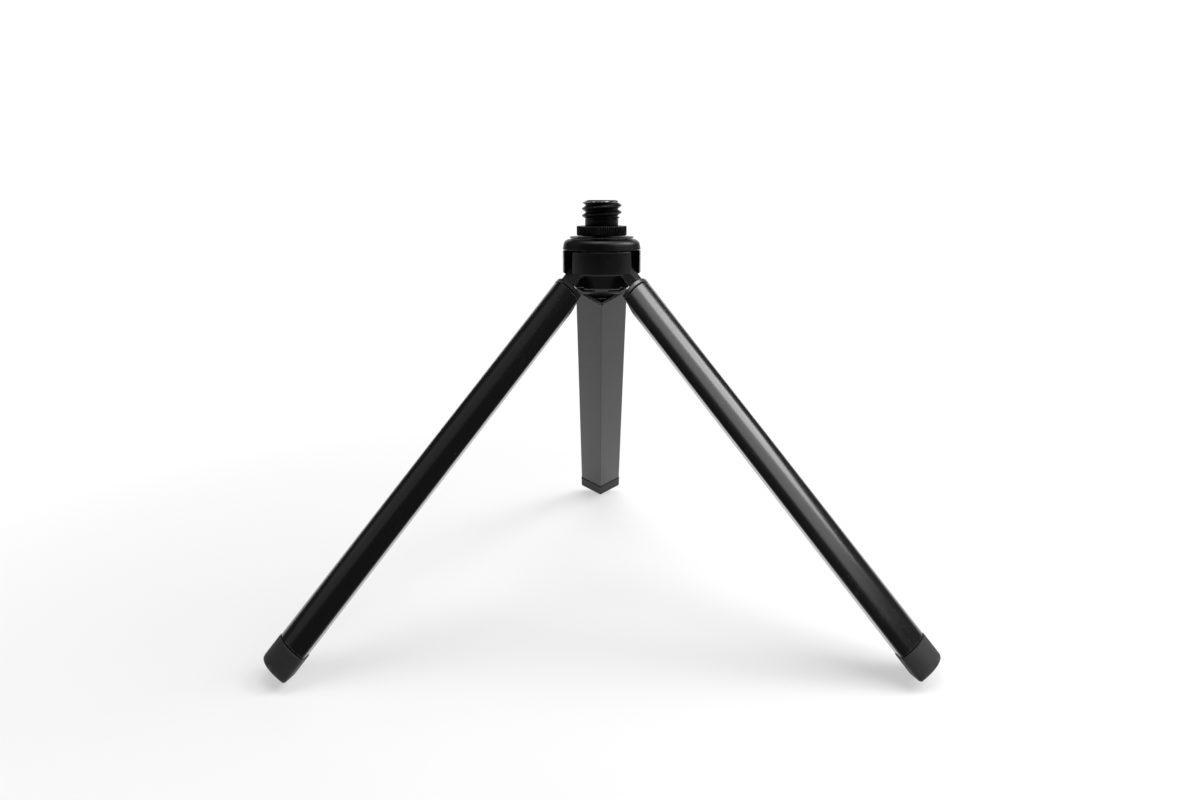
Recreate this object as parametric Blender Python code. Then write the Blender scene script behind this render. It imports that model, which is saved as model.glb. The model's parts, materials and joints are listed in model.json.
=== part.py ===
"""Mini tabletop tripod: three folding sector-section legs under a round head with a threaded stud.

Each leg section is a third of a circle, so the folded legs make one round baton.
Metres, +Z up. The origin is on the table under the head's axis, and the legs stand open.
"""

import math

import bmesh
import bpy
from mathutils import Matrix, Vector

MM = 0.001

# Clearances
FIT_GAP = 0.3 * MM          # between two pieces that seat on or in each other
SWING_GAP = 0.3 * MM        # between a hinge lug and what it swings past
FOLD_GAP = 0.3 * MM         # between the flats of neighbouring feet when folded

# Overall
LEG_COUNT = 3
LEG_AZIMUTHS = {"rear": 90.0, "left": 210.0, "right": 330.0}
LEG_SPREAD = math.radians(43.0)     # each leg from vertical, at rest against its stop
SECTOR_HALF_ANGLE = math.radians(180.0 / LEG_COUNT)
LEG_RADIUS = 7.8 * MM               # outer arc of a folded leg, round the tripod's axis
LEG_REACH = 112.8 * MM              # from the hinge axis to the end of the foot
LEG_WALL = 0.8 * MM
LEG_CORNER = 0.4 * MM
CORNER_LEAST = 0.1 * MM             # smallest rounding that an inner outline keeps

# Head, with heights measured from the hinge axes
HINGE_RADIUS = 5.2 * MM             # hinge axis from the tripod's axis
HEAD_RADIUS = 9.35 * MM
HEAD_DRAFT = 0.45 * MM              # how much narrower the cap is at its top
HEAD_EDGE = 1.1 * MM                # rounded top edge
HUB_DROP = 1.4 * MM                 # hub rim below the hinge axes
HUB_RISE = 4.0 * MM                 # hub top above the hinge axes
CAP_HEIGHT = 2.3 * MM
BOSS_RADIUS = 6.6 * MM
BOSS_HEIGHT = 3.5 * MM
RIM_CHAMFER = 0.3 * MM

# Hinges
LUG_WIDTH = 3.4 * MM
LUG_EYE_RADIUS = 2.35 * MM
LUG_STOP_HALF = 1.3 * MM            # half length of the flat that stops the open leg
LUG_ARM_INNER = 0.5 * MM            # arm edge inward of the hinge axis
LUG_ARM_OUTER = 1.85 * MM           # arm edge outward of the hinge axis
ARM_SET_IN = 0.05 * MM              # the arm's sides stand inside the lug's
PIN_RADIUS = 0.9 * MM
PIN_LENGTH = 8.6 * MM

# Leg insert, clip and foot
TUBE_START = 9.8 * MM               # from the hinge axis to the tube's top at its inner corner
TUBE_SLANT = 0.43                   # rise of the tube's cut top per length outward
FLANGE_THICKNESS = 0.9 * MM
FLANGE_CUT = 3.0 * MM               # the flange stops this far from the tripod's axis
WEB_INNER = 3.1 * MM                # the web's inner edge from the tripod's axis when folded
PLUG_DEPTH = 14.0 * MM
CLIP_HALF_WIDTH = 2.15 * MM
CLIP_INNER = 2.85 * MM              # nearest wall of the clip from the tripod's axis
CLIP_DEPTH = 1.9 * MM
CLIP_WALL = 0.4 * MM
CLIP_LENGTH = 6.0 * MM
CLIP_RECESS = 0.0 * MM              # top of the clip below the tube's top at its inner corner
FOOT_LENGTH = 6.0 * MM
FOOT_PROUD = 0.15 * MM              # the foot stands out from the tube
FOOT_EDGE = 0.8 * MM
FOOT_SPIGOT = 8.0 * MM

# Stud, collar, washer and nut
THREAD_RADIUS = 4.72 * MM           # 3/8 inch, 16 threads per inch
THREAD_ROOT = 3.9 * MM
THREAD_PITCH = 25.4 / 16 * MM
THREAD_LENGTH = 4.4 * MM
THREAD_CHAMFER = 1.2 * MM           # how much narrower the stud is at its top
CHAMFER_STEEPNESS = 2.0             # how fast it narrows: radius per height
NECK_RADIUS = 3.98 * MM
NECK_LENGTH = 1.6 * MM
SHANK_RADIUS = 2.0 * MM
COLLAR_RADIUS = 5.95 * MM
COLLAR_HEIGHT = 2.2 * MM
COLLAR_TEETH = 72
KNURL_DEPTH = 0.15 * MM
WASHER_RADIUS = 7.6 * MM
WASHER_THICKNESS = 0.3 * MM
NUT_RADIUS = 3.3 * MM
NUT_HEIGHT = 1.1 * MM

# How finely curves are divided
ROUND_SEGMENTS = 64
SMALL_SEGMENTS = 24
ARC_STEPS = 16
CORNER_STEPS = 4
CORNER_ROOM = 1.4           # straight room beside a rounded corner, in corner radii
THREAD_SEGMENTS = 32
THREAD_ROWS = 6

# Derived sizes and places
SIN_HALF = math.sin(SECTOR_HALF_ANGLE)
COS_HALF = math.cos(SECTOR_HALF_ANGLE)
BORE_RADIUS = SHANK_RADIUS + FIT_GAP
SLOT_HALF = LUG_WIDTH / 2 + SWING_GAP
PIN_HOLE_RADIUS = PIN_RADIUS + FIT_GAP
CAP_BOTTOM = HUB_RISE + FIT_GAP
CAP_TOP = CAP_BOTTOM + CAP_HEIGHT
WASHER_BOTTOM = CAP_TOP + FIT_GAP
COLLAR_BOTTOM = WASHER_BOTTOM + WASHER_THICKNESS + FIT_GAP
COLLAR_TOP = COLLAR_BOTTOM + COLLAR_HEIGHT
THREAD_BOTTOM = COLLAR_TOP + NECK_LENGTH
STUD_TOP = THREAD_BOTTOM + THREAD_LENGTH
BOSS_BOTTOM = -HUB_DROP - BOSS_HEIGHT
NUT_BOTTOM = BOSS_BOTTOM + FIT_GAP
NUT_POCKET_RADIUS = NUT_RADIUS + FIT_GAP
NUT_POCKET_DEPTH = NUT_HEIGHT + 2 * FIT_GAP
TUBE_END = LEG_REACH - FOOT_LENGTH - FIT_GAP
INNER_CORNER = (FOLD_GAP / 2 + FOOT_PROUD) / SIN_HALF - HINGE_RADIUS
CUT_MARGIN = 1.0 * MM               # how far a cutter runs past what it cuts


# Colours, roughness and metallic value of each finish
FINISHES = {
    "head_plastic": ((0.012, 0.012, 0.013), 0.42, 0.0),
    "stud_black": ((0.015, 0.015, 0.016), 0.30, 1.0),
    "collar_black": ((0.010, 0.010, 0.010), 0.50, 1.0),
    "steel": ((0.55, 0.55, 0.53), 0.30, 1.0),
    "leg_paint": ((0.010, 0.010, 0.011), 0.22, 0.0),
    "insert_plastic": ((0.020, 0.020, 0.022), 0.45, 0.0),
    "foot_rubber": ((0.022, 0.022, 0.024), 0.75, 0.0),
}


def clear_scene():
    """Removes what the scene starts with."""
    for obj in list(bpy.data.objects):
        bpy.data.objects.remove(obj, do_unlink=True)


def finish(name):
    """The named material, made once."""
    found = bpy.data.materials.get(name)
    if found:
        return found
    colour, roughness, metallic = FINISHES[name]
    made = bpy.data.materials.new(name)
    made.use_nodes = True
    shader = made.node_tree.nodes["Principled BSDF"]
    shader.inputs["Base Color"].default_value = (*colour, 1.0)
    shader.inputs["Roughness"].default_value = roughness
    shader.inputs["Metallic"].default_value = metallic
    return made


def to_mesh(shape, name):
    """A mesh from a bmesh, with its faces turned outward."""
    bmesh.ops.recalc_face_normals(shape, faces=shape.faces)
    mesh = bpy.data.meshes.new(name)
    shape.to_mesh(mesh)
    shape.free()
    return mesh


def place(name, mesh, finish_name, parent=None, location=(0, 0, 0), rotation=(0, 0, 0)):
    """An object for one sub-part, smooth over its round faces."""
    obj = bpy.data.objects.new(name, mesh)
    bpy.context.scene.collection.objects.link(obj)
    obj.parent = parent
    obj.location = location
    obj.rotation_euler = rotation
    if not mesh.materials:
        mesh.materials.append(finish(finish_name))
    mesh.shade_smooth()
    mesh.set_sharp_from_angle(angle=math.radians(35.0))
    return obj


def combined(mesh, others, operation):
    """The mesh with the others joined to it (UNION) or cut from it (DIFFERENCE)."""
    base = bpy.data.objects.new("base", mesh)
    bpy.context.scene.collection.objects.link(base)
    helpers = []
    for other in others:
        helper = bpy.data.objects.new("helper", other)
        helper.hide_render = True
        helper.display_type = "WIRE"
        bpy.context.scene.collection.objects.link(helper)
        helpers.append(helper)
        step = base.modifiers.new("step", "BOOLEAN")
        step.operation = operation
        step.solver = "EXACT"
        step.object = helper
    bpy.context.view_layer.update()
    graph = bpy.context.evaluated_depsgraph_get()
    result = bpy.data.meshes.new_from_object(base.evaluated_get(graph))
    result.name = mesh.name
    for obj in [base, *helpers]:
        bpy.data.objects.remove(obj, do_unlink=True)
    return result


def prism(name, outline, bottom, top):
    """A closed outline carried from one height to another."""
    shape = bmesh.new()
    corners = [shape.verts.new((x, y, bottom)) for x, y in outline]
    face = shape.faces.new(corners)
    grown = bmesh.ops.extrude_face_region(shape, geom=[face])
    moved = [item for item in grown["geom"] if isinstance(item, bmesh.types.BMVert)]
    bmesh.ops.translate(shape, verts=moved, vec=(0, 0, top - bottom))
    return to_mesh(shape, name)


def lofted(name, sections):
    """A closed body through outlines of equal length, each given with its height."""
    shape = bmesh.new()
    rings = []
    for outline, height in sections:
        rings.append([shape.verts.new((x, y, height)) for x, y in outline])
    shape.faces.new(rings[0])
    shape.faces.new(rings[-1])
    for lower, upper in zip(rings, rings[1:]):
        for index in range(len(lower)):
            after = (index + 1) % len(lower)
            shape.faces.new((lower[index], lower[after], upper[after], upper[index]))
    return to_mesh(shape, name)


def hollow_prism(name, outline, hole, bottom, top):
    """A tube whose outer and inner outlines have the same number of points."""
    shape = bmesh.new()
    edges = []
    for points in (outline, hole):
        corners = [shape.verts.new((x, y, bottom)) for x, y in points]
        pairs = zip(corners, corners[1:] + corners[:1])
        edges += [shape.edges.new(pair) for pair in pairs]
    bmesh.ops.bridge_loops(shape, edges=edges)
    grown = bmesh.ops.extrude_face_region(shape, geom=shape.faces[:])
    moved = [item for item in grown["geom"] if isinstance(item, bmesh.types.BMVert)]
    bmesh.ops.translate(shape, verts=moved, vec=(0, 0, top - bottom))
    return to_mesh(shape, name)


def turned(name, profile, segments=ROUND_SEGMENTS, closed=True):
    """A profile of (radius, height) points spun about Z. An open one starts and ends on the axis."""
    shape = bmesh.new()
    corners = [shape.verts.new((radius, 0, height)) for radius, height in profile]
    ends = corners[1:] + corners[:1] if closed else corners[1:]
    edges = [shape.edges.new(pair) for pair in zip(corners, ends)]
    bmesh.ops.spin(
        shape,
        geom=corners + edges,
        axis=(0, 0, 1),
        cent=(0, 0, 0),
        angle=2 * math.pi,
        steps=segments,
        use_merge=True,
    )
    bmesh.ops.remove_doubles(shape, verts=shape.verts, dist=0.001 * MM)
    return to_mesh(shape, name)


def side_prism(name, outline, half_width):
    """An outline of (outward, up) points given a width along Y, centred on the XZ plane."""
    flat = prism(name, outline, -half_width, half_width)
    flat.transform(Matrix.Rotation(math.pi / 2, 4, "X"))
    return flat


def box(name, low, high):
    """A block between two corners."""
    shape = bmesh.new()
    size = Vector(high) - Vector(low)
    middle = (Vector(high) + Vector(low)) / 2
    bmesh.ops.create_cube(shape, size=1.0)
    bmesh.ops.scale(shape, verts=shape.verts, vec=size)
    bmesh.ops.translate(shape, verts=shape.verts, vec=middle)
    return to_mesh(shape, name)


def cross_rod(name, radius, length, segments=SMALL_SEGMENTS):
    """A rod along Y, centred on the origin."""
    shape = bmesh.new()
    bmesh.ops.create_cone(
        shape, cap_ends=True, segments=segments, radius1=radius, radius2=radius, depth=length
    )
    bmesh.ops.rotate(shape, verts=shape.verts, matrix=Matrix.Rotation(math.pi / 2, 3, "X"))
    return to_mesh(shape, name)


def turned_copy(mesh, azimuth, offset=(0, 0, 0)):
    """A copy of a mesh, moved by the offset and then turned about Z."""
    copy = mesh.copy()
    copy.transform(Matrix.Rotation(azimuth, 4, "Z") @ Matrix.Translation(offset))
    return copy


def azimuths():
    """The direction of each leg, in radians."""
    return [math.radians(angle) for angle in LEG_AZIMUTHS.values()]


def rounded(outline, radii):
    """The outline with each corner of non-zero radius turned into an arc."""
    points = []
    count = len(outline)
    for index, radius in enumerate(radii):
        corner = Vector(outline[index])
        if radius <= 0:
            points.append(corner)
            continue
        before = (Vector(outline[index - 1]) - corner).normalized()
        after = (Vector(outline[(index + 1) % count]) - corner).normalized()
        half = before.angle(after) / 2
        centre = corner + (before + after).normalized() * radius / math.sin(half)
        start = corner + before * radius / math.tan(half) - centre
        finish_side = corner + after * radius / math.tan(half) - centre
        for step in range(CORNER_STEPS + 1):
            share = step / CORNER_STEPS
            arm = start.lerp(finish_side, share)
            points.append(centre + arm.normalized() * radius)
    return points


def sector_outline(grow, corner):
    """A leg's section round the tripod's axis, grown all round, with its three corners rounded."""
    apex = (FOLD_GAP / 2 + FOOT_PROUD - grow) / SIN_HALF
    reach = LEG_RADIUS + grow
    # Where a flat, which leaves the apex at the half angle, meets the outer arc.
    along = -apex * COS_HALF + math.sqrt(reach**2 - (apex * SIN_HALF) ** 2)
    edge_angle = math.atan2(along * SIN_HALF, apex + along * COS_HALF)
    corner_point = (reach * math.cos(edge_angle), reach * math.sin(edge_angle))
    arc_angle = edge_angle - CORNER_ROOM * corner / reach
    outline = [(apex, 0.0), (corner_point[0], -corner_point[1])]
    for step in range(ARC_STEPS + 1):
        angle = arc_angle * (2 * step / ARC_STEPS - 1)
        outline.append((reach * math.cos(angle), reach * math.sin(angle)))
    outline.append(corner_point)
    radii = [corner, corner] + [0.0] * (ARC_STEPS + 1) + [corner]
    return rounded(outline, radii)


def at_hinge(outline):
    """A section's points measured from the hinge axis instead of the tripod's axis."""
    return [(point[0] - HINGE_RADIUS, point[1]) for point in outline]


def leg_outline(inset):
    """A leg's section, measured from its hinge axis and shrunk by the inset."""
    corner = max(LEG_CORNER - inset, CORNER_LEAST)
    return at_hinge(sector_outline(-inset, corner))


def slant_rise(outward):
    """How much higher the tube's top is at a distance outward of the hinge than at its corner."""
    return TUBE_SLANT * (outward - INNER_CORNER)


def slanted(mesh, floor):
    """The mesh with each point above a height lifted by the slant's rise."""
    for vert in mesh.vertices:
        if vert.co.z > floor:
            vert.co.z += slant_rise(vert.co.x)
    return mesh


def hub_body_mesh():
    """The slotted hub with the boss that ties its three blocks together below the slots."""
    profile = [
        (BORE_RADIUS, BOSS_BOTTOM),
        (BOSS_RADIUS - RIM_CHAMFER, BOSS_BOTTOM),
        (BOSS_RADIUS, BOSS_BOTTOM + RIM_CHAMFER),
        (BOSS_RADIUS, -HUB_DROP),
        (HEAD_RADIUS - RIM_CHAMFER, -HUB_DROP),
        (HEAD_RADIUS, -HUB_DROP + RIM_CHAMFER),
        (HEAD_RADIUS, HUB_RISE),
        (BORE_RADIUS, HUB_RISE),
    ]
    hub = turned("hub_body", profile)
    outside = HEAD_RADIUS + CUT_MARGIN
    above = HUB_RISE + CUT_MARGIN
    eye_clear = LUG_EYE_RADIUS + SWING_GAP
    eye_inner = HINGE_RADIUS - eye_clear
    arm_inner = HINGE_RADIUS - LUG_ARM_INNER - SWING_GAP
    below = BOSS_BOTTOM - CUT_MARGIN
    slot_outline = [
        (outside, above),
        (eye_inner, above),
        (eye_inner, -eye_clear),
        (arm_inner, -eye_clear),
        (arm_inner, below),
        (outside, below),
    ]
    slot = side_prism("slot", slot_outline, SLOT_HALF)
    groove_half = PIN_LENGTH / 2 + FIT_GAP
    groove = box(
        "groove",
        (HINGE_RADIUS - PIN_HOLE_RADIUS, -groove_half, -PIN_HOLE_RADIUS),
        (HINGE_RADIUS + PIN_HOLE_RADIUS, groove_half, above),
    )
    pocket = turned(
        "pocket",
        [
            (0, BOSS_BOTTOM - CUT_MARGIN),
            (NUT_POCKET_RADIUS, BOSS_BOTTOM - CUT_MARGIN),
            (NUT_POCKET_RADIUS, BOSS_BOTTOM + NUT_POCKET_DEPTH),
            (0, BOSS_BOTTOM + NUT_POCKET_DEPTH),
        ],
        closed=False,
    )
    cuts = [pocket]
    for azimuth in azimuths():
        cuts += [turned_copy(cut, azimuth) for cut in (slot, groove)]
    return combined(hub, cuts, "DIFFERENCE")


def head_cap_mesh():
    """The cap over the slots, with a pair of feet over each hinge pin that hold it down."""
    top_radius = HEAD_RADIUS - HEAD_DRAFT
    profile = [(BORE_RADIUS, CAP_BOTTOM), (HEAD_RADIUS, CAP_BOTTOM)]
    for step in range(CORNER_STEPS + 1):
        angle = math.pi / 2 * step / CORNER_STEPS
        profile.append(
            (
                top_radius - HEAD_EDGE + HEAD_EDGE * math.cos(angle),
                CAP_TOP - HEAD_EDGE + HEAD_EDGE * math.sin(angle),
            )
        )
    profile.append((BORE_RADIUS, CAP_TOP))
    cap = turned("head_cap", profile)
    half = PIN_HOLE_RADIUS - FIT_GAP
    feet = []
    for azimuth in azimuths():
        for side in (-1, 1):
            ends = sorted((side * (SLOT_HALF + FIT_GAP), side * PIN_LENGTH / 2))
            foot = box(
                "pin_foot",
                (HINGE_RADIUS - half, ends[0], PIN_RADIUS + FIT_GAP),
                (HINGE_RADIUS + half, ends[1], CAP_BOTTOM + CAP_HEIGHT / 2),
            )
            feet.append(turned_copy(foot, azimuth))
    return combined(cap, feet, "UNION")


def thread_reach(angle, height):
    """The thread's radius at an angle and a height above the thread's lower end."""
    turns = height / THREAD_PITCH - angle / (2 * math.pi)
    share = abs((turns % 1.0) - 0.5) * 2
    crest = min(max((share - 0.15) / 0.70, 0.0), 1.0)
    run_in = min(max(height / (THREAD_PITCH / 2), 0.0), 1.0)
    reach = THREAD_ROOT + (THREAD_RADIUS - THREAD_ROOT) * crest * run_in
    below_top = THREAD_LENGTH - height
    chamfer = THREAD_RADIUS - THREAD_CHAMFER + CHAMFER_STEEPNESS * below_top
    return min(reach, chamfer)


def stud_ring(shape, edges, height, reach):
    """Extrudes a ring of edges to a height, with a radius that may vary with the angle."""
    grown = bmesh.ops.extrude_edge_only(shape, edges=edges)["geom"]
    for vert in grown:
        if isinstance(vert, bmesh.types.BMVert):
            angle = math.atan2(vert.co.y, vert.co.x)
            radius = reach(angle)
            vert.co = (radius * math.cos(angle), radius * math.sin(angle), height)
    return [item for item in grown if isinstance(item, bmesh.types.BMEdge)]


def threaded_stud_mesh():
    """Shank, seat, relief neck and right-hand thread, in one turned piece."""
    shape = bmesh.new()
    bmesh.ops.create_circle(
        shape, cap_ends=True, radius=SHANK_RADIUS, segments=THREAD_SEGMENTS
    )
    bmesh.ops.translate(shape, verts=shape.verts, vec=(0, 0, NUT_BOTTOM))
    edges = shape.edges[:]
    steps = [
        (COLLAR_BOTTOM, SHANK_RADIUS),
        (COLLAR_BOTTOM, NECK_RADIUS),
        (THREAD_BOTTOM, NECK_RADIUS),
    ]
    for height, radius in steps:
        edges = stud_ring(shape, edges, height, lambda angle, radius=radius: radius)
    rows = round(THREAD_LENGTH / THREAD_PITCH * THREAD_ROWS)
    for row in range(1, rows + 1):
        height = THREAD_LENGTH * row / rows
        edges = stud_ring(
            shape,
            edges,
            THREAD_BOTTOM + height,
            lambda angle, height=height: thread_reach(angle, height),
        )
    bmesh.ops.contextual_create(shape, geom=edges)
    return to_mesh(shape, "threaded_stud")


def knurled_collar_mesh():
    """The ring that turns the stud, with straight teeth round its rim."""
    outline = []
    for index in range(2 * COLLAR_TEETH):
        angle = math.pi * index / COLLAR_TEETH
        reach = COLLAR_RADIUS - KNURL_DEPTH * (index % 2)
        outline.append((reach * math.cos(angle), reach * math.sin(angle)))
    ring = prism("knurled_collar", outline, COLLAR_BOTTOM, COLLAR_TOP)
    bore = NECK_RADIUS + FIT_GAP
    hole = turned(
        "hole",
        [
            (0, COLLAR_BOTTOM - CUT_MARGIN),
            (bore, COLLAR_BOTTOM - CUT_MARGIN),
            (bore, COLLAR_TOP + CUT_MARGIN),
            (0, COLLAR_TOP + CUT_MARGIN),
        ],
        segments=THREAD_SEGMENTS,
        closed=False,
    )
    return combined(ring, [hole], "DIFFERENCE")


def top_washer_mesh():
    """The thin washer that the collar turns on."""
    top = WASHER_BOTTOM + WASHER_THICKNESS
    profile = [
        (BORE_RADIUS, WASHER_BOTTOM),
        (WASHER_RADIUS, WASHER_BOTTOM),
        (WASHER_RADIUS, top),
        (BORE_RADIUS, top),
    ]
    return turned("top_washer", profile)


def stud_nut_mesh():
    """The hexagonal nut that holds the stud in the head from below."""
    outline = []
    for index in range(6):
        angle = math.pi / 3 * index
        outline.append((NUT_RADIUS * math.cos(angle), NUT_RADIUS * math.sin(angle)))
    nut = prism("stud_nut", outline, NUT_BOTTOM, NUT_BOTTOM + NUT_HEIGHT)
    hole = turned(
        "hole",
        [
            (0, NUT_BOTTOM - CUT_MARGIN),
            (BORE_RADIUS, NUT_BOTTOM - CUT_MARGIN),
            (BORE_RADIUS, NUT_BOTTOM + NUT_HEIGHT + CUT_MARGIN),
            (0, NUT_BOTTOM + NUT_HEIGHT + CUT_MARGIN),
        ],
        segments=THREAD_SEGMENTS,
        closed=False,
    )
    return combined(nut, [hole], "DIFFERENCE")


def lug_mesh():
    """The hinge eye with its stop flat, seen across the hinge axis and given its width."""
    shape = bmesh.new()
    half = LUG_WIDTH / 2
    stop_reach = HUB_RISE + FIT_GAP - SWING_GAP
    up = Vector((math.sin(LEG_SPREAD), 0, math.cos(LEG_SPREAD)))
    across = Vector((math.cos(LEG_SPREAD), 0, -math.sin(LEG_SPREAD)))
    points = []
    for index in range(SMALL_SEGMENTS):
        angle = 2 * math.pi * index / SMALL_SEGMENTS
        points.append(Vector((math.cos(angle), 0, math.sin(angle))) * LUG_EYE_RADIUS)
    for side in (-1, 1):
        points.append(up * stop_reach + across * side * LUG_STOP_HALF)
    for point in points:
        for side in (-half, half):
            shape.verts.new(point + Vector((0, side, 0)))
    hull = bmesh.ops.convex_hull(shape, input=shape.verts)
    loose = [item for item in hull["geom_interior"] if isinstance(item, bmesh.types.BMVert)]
    bmesh.ops.delete(shape, geom=loose, context="VERTS")
    return to_mesh(shape, "lug")


def leg_insert_mesh():
    """Hinge lug, arm, web, flange and the plug that fills the top of the tube."""
    flange_bottom = -TUBE_START + FIT_GAP
    flange_top = flange_bottom + FLANGE_THICKNESS
    half = LUG_WIDTH / 2 - ARM_SET_IN
    flange_middle = flange_bottom + FLANGE_THICKNESS / 2
    web_inner = WEB_INNER - HINGE_RADIUS
    web_top = BOSS_BOTTOM - SWING_GAP
    arm_outline = [
        (web_inner, flange_middle + slant_rise(web_inner)),
        (LUG_ARM_OUTER, flange_middle + slant_rise(LUG_ARM_OUTER)),
        (LUG_ARM_OUTER, 0.0),
        (-LUG_ARM_INNER, 0.0),
        (-LUG_ARM_INNER, web_top),
        (web_inner, web_top),
    ]
    arm = side_prism("arm", arm_outline, half)
    flange = prism("flange", leg_outline(0.0), flange_bottom, flange_top)
    plug = prism(
        "plug",
        leg_outline(LEG_WALL + FIT_GAP),
        -TUBE_START - PLUG_DEPTH,
        flange_middle,
    )
    plates = [slanted(plug, -TUBE_START), arm, lug_mesh()]
    joined = combined(slanted(flange, -TUBE_START), plates, "UNION")
    front = -LEG_RADIUS - HINGE_RADIUS
    mouth = box(
        "mouth",
        (front, -LEG_RADIUS, -TUBE_START - CLIP_RECESS - CLIP_LENGTH - FIT_GAP),
        (FLANGE_CUT - HINGE_RADIUS, LEG_RADIUS, flange_top + slant_rise(0.0)),
    )
    clip_room = box(
        "clip_room",
        (
            front,
            -CLIP_HALF_WIDTH - FIT_GAP,
            -TUBE_START - CLIP_RECESS - CLIP_LENGTH - FIT_GAP,
        ),
        (
            CLIP_INNER + CLIP_DEPTH + FIT_GAP - HINGE_RADIUS,
            CLIP_HALF_WIDTH + FIT_GAP,
            -TUBE_START - CLIP_RECESS + FIT_GAP,
        ),
    )
    pin_hole = cross_rod("pin_hole", PIN_HOLE_RADIUS, LUG_WIDTH + 2 * CUT_MARGIN)
    return combined(joined, [mouth, clip_room, pin_hole], "DIFFERENCE")


def leg_tube_mesh():
    """The sector-section tube, open at both ends and cut at a slant at its top."""
    tube = hollow_prism(
        "leg_tube", leg_outline(0.0), leg_outline(LEG_WALL), -TUBE_END, -TUBE_START
    )
    return slanted(tube, -TUBE_END / 2)


def leg_clip_mesh():
    """The plated spring clip in the tube's mouth: a channel with a rib down its middle."""
    top = -TUBE_START - CLIP_RECESS
    bottom = top - CLIP_LENGTH
    low = CLIP_INNER - HINGE_RADIUS
    high = low + CLIP_DEPTH
    width = CLIP_HALF_WIDTH
    wall = CLIP_WALL
    outline = [
        (high, -width),
        (low, -width),
        (low, width),
        (high, width),
        (high, width - wall),
        (low + wall, width - wall),
        (low + wall, wall),
        (high, wall),
        (high, -wall),
        (low + wall, -wall),
        (low + wall, wall - width),
        (high, wall - width),
    ]
    radii = [0, wall, wall, 0, 0, 0, 0, 0, 0, 0, 0, 0]
    return prism("leg_clip", rounded(outline, radii), bottom, top)


def foot_cap_mesh():
    """The rubber foot: a rounded end with a spigot that plugs the tube."""
    sections = []
    for step in range(CORNER_STEPS + 1):
        angle = math.pi / 2 * step / CORNER_STEPS
        inset = FOOT_EDGE * (1 - math.sin(angle))
        height = FOOT_EDGE * (1 - math.cos(angle)) - LEG_REACH
        corner = max(LEG_CORNER + FOOT_PROUD - inset, CORNER_LEAST)
        sections.append((at_hinge(sector_outline(FOOT_PROUD - inset, corner)), height))
    sections.append((sections[-1][0], FOOT_LENGTH - LEG_REACH))
    foot = lofted("foot_cap", sections)
    spigot = prism(
        "spigot",
        leg_outline(LEG_WALL + FIT_GAP),
        FOOT_LENGTH / 2 - LEG_REACH,
        FOOT_LENGTH + FOOT_SPIGOT - LEG_REACH,
    )
    return combined(foot, [spigot], "UNION")


def hinge_height(foot):
    """How high the hinge axes stand when the open leg's foot just touches the table."""
    lowest = min(
        vert.co.x * math.sin(LEG_SPREAD) + vert.co.z * math.cos(LEG_SPREAD)
        for vert in foot.vertices
    )
    return -lowest


def empty(name, parent=None, location=(0, 0, 0), rotation=(0, 0, 0)):
    """A guide that other pieces hang from."""
    guide = bpy.data.objects.new(name, None)
    guide.empty_display_size = HEAD_RADIUS
    bpy.context.scene.collection.objects.link(guide)
    guide.parent = parent
    guide.location = location
    guide.rotation_euler = rotation
    return guide


def build_head(head):
    """Everything that stays with the head or turns on it."""
    place("hub_body", hub_body_mesh(), "head_plastic", head)
    place("head_cap", head_cap_mesh(), "head_plastic", head)
    place("top_washer", top_washer_mesh(), "stud_black", head)
    place("threaded_stud", threaded_stud_mesh(), "stud_black", head)
    place("knurled_collar", knurled_collar_mesh(), "collar_black", head)
    place("stud_nut", stud_nut_mesh(), "steel", head)


def build_legs(head, foot):
    """Three legs, each on an empty at its hinge, and the pins that they turn on."""
    insert = leg_insert_mesh()
    tube = leg_tube_mesh()
    clip = leg_clip_mesh()
    pin = cross_rod("hinge_pin", PIN_RADIUS, PIN_LENGTH)
    for name, degrees in LEG_AZIMUTHS.items():
        azimuth = math.radians(degrees)
        spot = Vector((math.cos(azimuth), math.sin(azimuth), 0)) * HINGE_RADIUS
        place(f"hinge_pin_{name}", pin, "steel", head, spot, (0, 0, azimuth))
        hinge = empty(f"hinge_{name}", head, spot, (0, -LEG_SPREAD, azimuth))
        place(f"leg_insert_{name}", insert, "insert_plastic", hinge)
        place(f"leg_tube_{name}", tube, "leg_paint", hinge)
        place(f"leg_clip_{name}", clip, "steel", hinge)
        place(f"foot_cap_{name}", foot, "foot_rubber", hinge)


def main():
    """Builds the tripod with its legs open."""
    clear_scene()
    foot = foot_cap_mesh()
    head = empty("head", location=(0, 0, hinge_height(foot)))
    build_head(head)
    build_legs(head, foot)


main()
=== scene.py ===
"""Looks for a mini tabletop tripod: a round head with a threaded stud, on three folding legs.

Each sub-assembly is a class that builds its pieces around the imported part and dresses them.
Lengths are in metres, in the part's own frame: +Z up, the origin on the table below the head.
"""

import json
import logging
import math
from collections.abc import Callable, Iterable, Sequence
from dataclasses import dataclass
from enum import Enum
from typing import Any

import bmesh
import bpy
from mathutils import Euler, Matrix, Vector


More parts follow.
